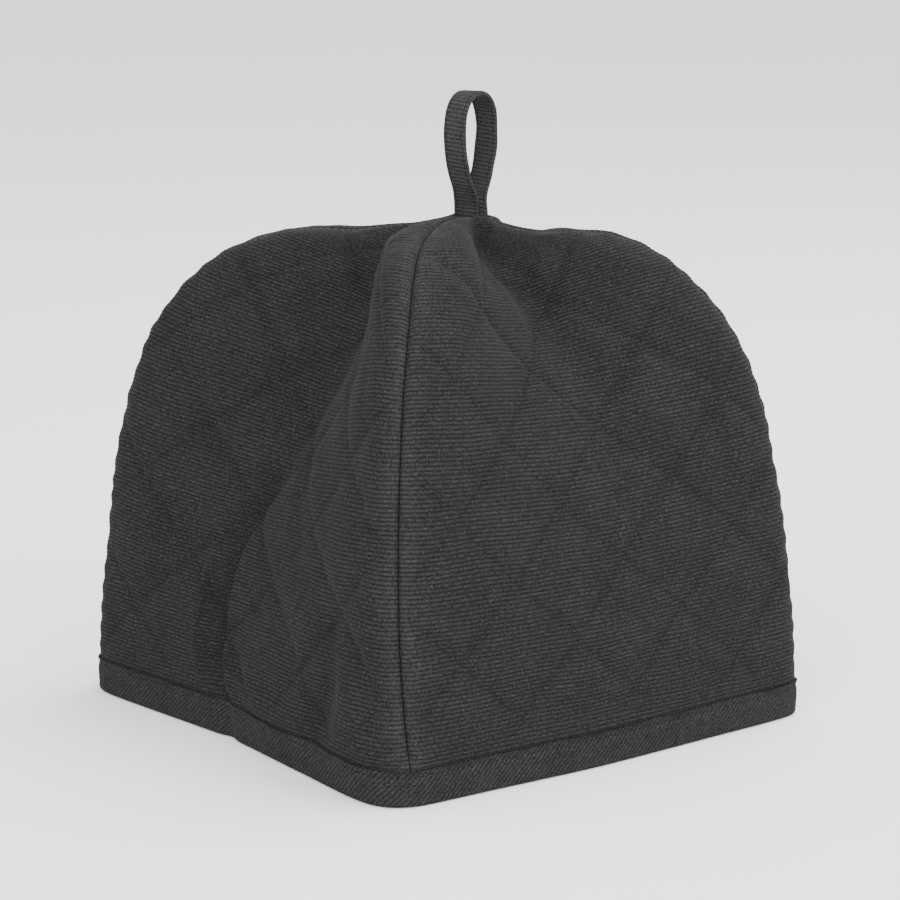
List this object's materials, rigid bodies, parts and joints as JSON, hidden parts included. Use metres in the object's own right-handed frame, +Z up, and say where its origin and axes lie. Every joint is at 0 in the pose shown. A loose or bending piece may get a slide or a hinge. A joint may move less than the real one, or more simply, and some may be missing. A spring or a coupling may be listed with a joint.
{
  "type": "tea cosy",
  "caption": "Square quilted cloth tea cosy with ridged seams, a deep side fold, a bound hem and a fabric hanging loop at its top.",
  "frame": {"origin": "centre of the bounding box's base, on the surface that the hem stands on", "axes": "+Z up; the front ridge points along -Y and the right ridge along +X"},
  "size_m": [0.2943, 0.2949, 0.254],
  "materials": {
    "quilted_cotton": "matte ribbed cotton, dark grey, quilted in diamonds",
    "binding_cotton": "matte ribbed cotton cut on the bias, dark grey",
    "loop_cotton": "matte ribbed cotton strap, dark grey"
  },
  "bodies": {
    "root": {"panel_front_left": "quilted_cotton", "panel_front_right": "quilted_cotton", "panel_back_right": "quilted_cotton", "panel_back_left": "quilted_cotton", "binding": "binding_cotton", "loop": "loop_cotton"}
  },
  "joints": []
}
